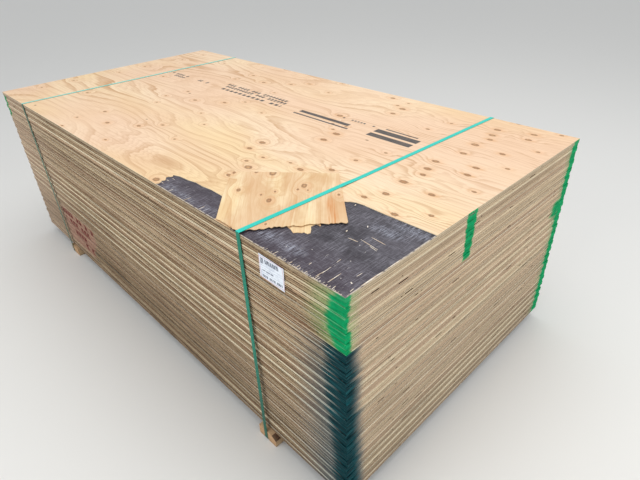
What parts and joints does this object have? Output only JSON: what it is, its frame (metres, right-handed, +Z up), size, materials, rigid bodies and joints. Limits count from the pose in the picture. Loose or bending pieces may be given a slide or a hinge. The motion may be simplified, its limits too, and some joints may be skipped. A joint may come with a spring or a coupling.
{
  "type": "stack of plywood sheets",
  "caption": "Strapped stack of full-size plywood sheets on two timber bearers, with a torn face veneer at one top corner and a loose piece of veneer under a strap.",
  "frame": {"origin": "on the floor under the middle of the stack", "axes": "+X along the length of the sheets, towards the torn corner; +Y across them, away from the long face with the label; +Z up"},
  "size_m": [2.444, 1.2566, 0.8342],
  "materials": {
    "plywood": "matte",
    "top_sheet": "matte",
    "veneer": "matte",
    "bearer": "matte",
    "strap": "gloss",
    "label": "matte"
  },
  "bodies": {
    "root": {"plywood_sheets": "plywood", "top_sheet": "top_sheet", "loose_veneer": "veneer", "veneer_splinter": "veneer", "bearer_near": "bearer", "bearer_far": "bearer", "strap_near": "strap", "strap_far": "strap", "label": "label"}
  },
  "joints": []
}
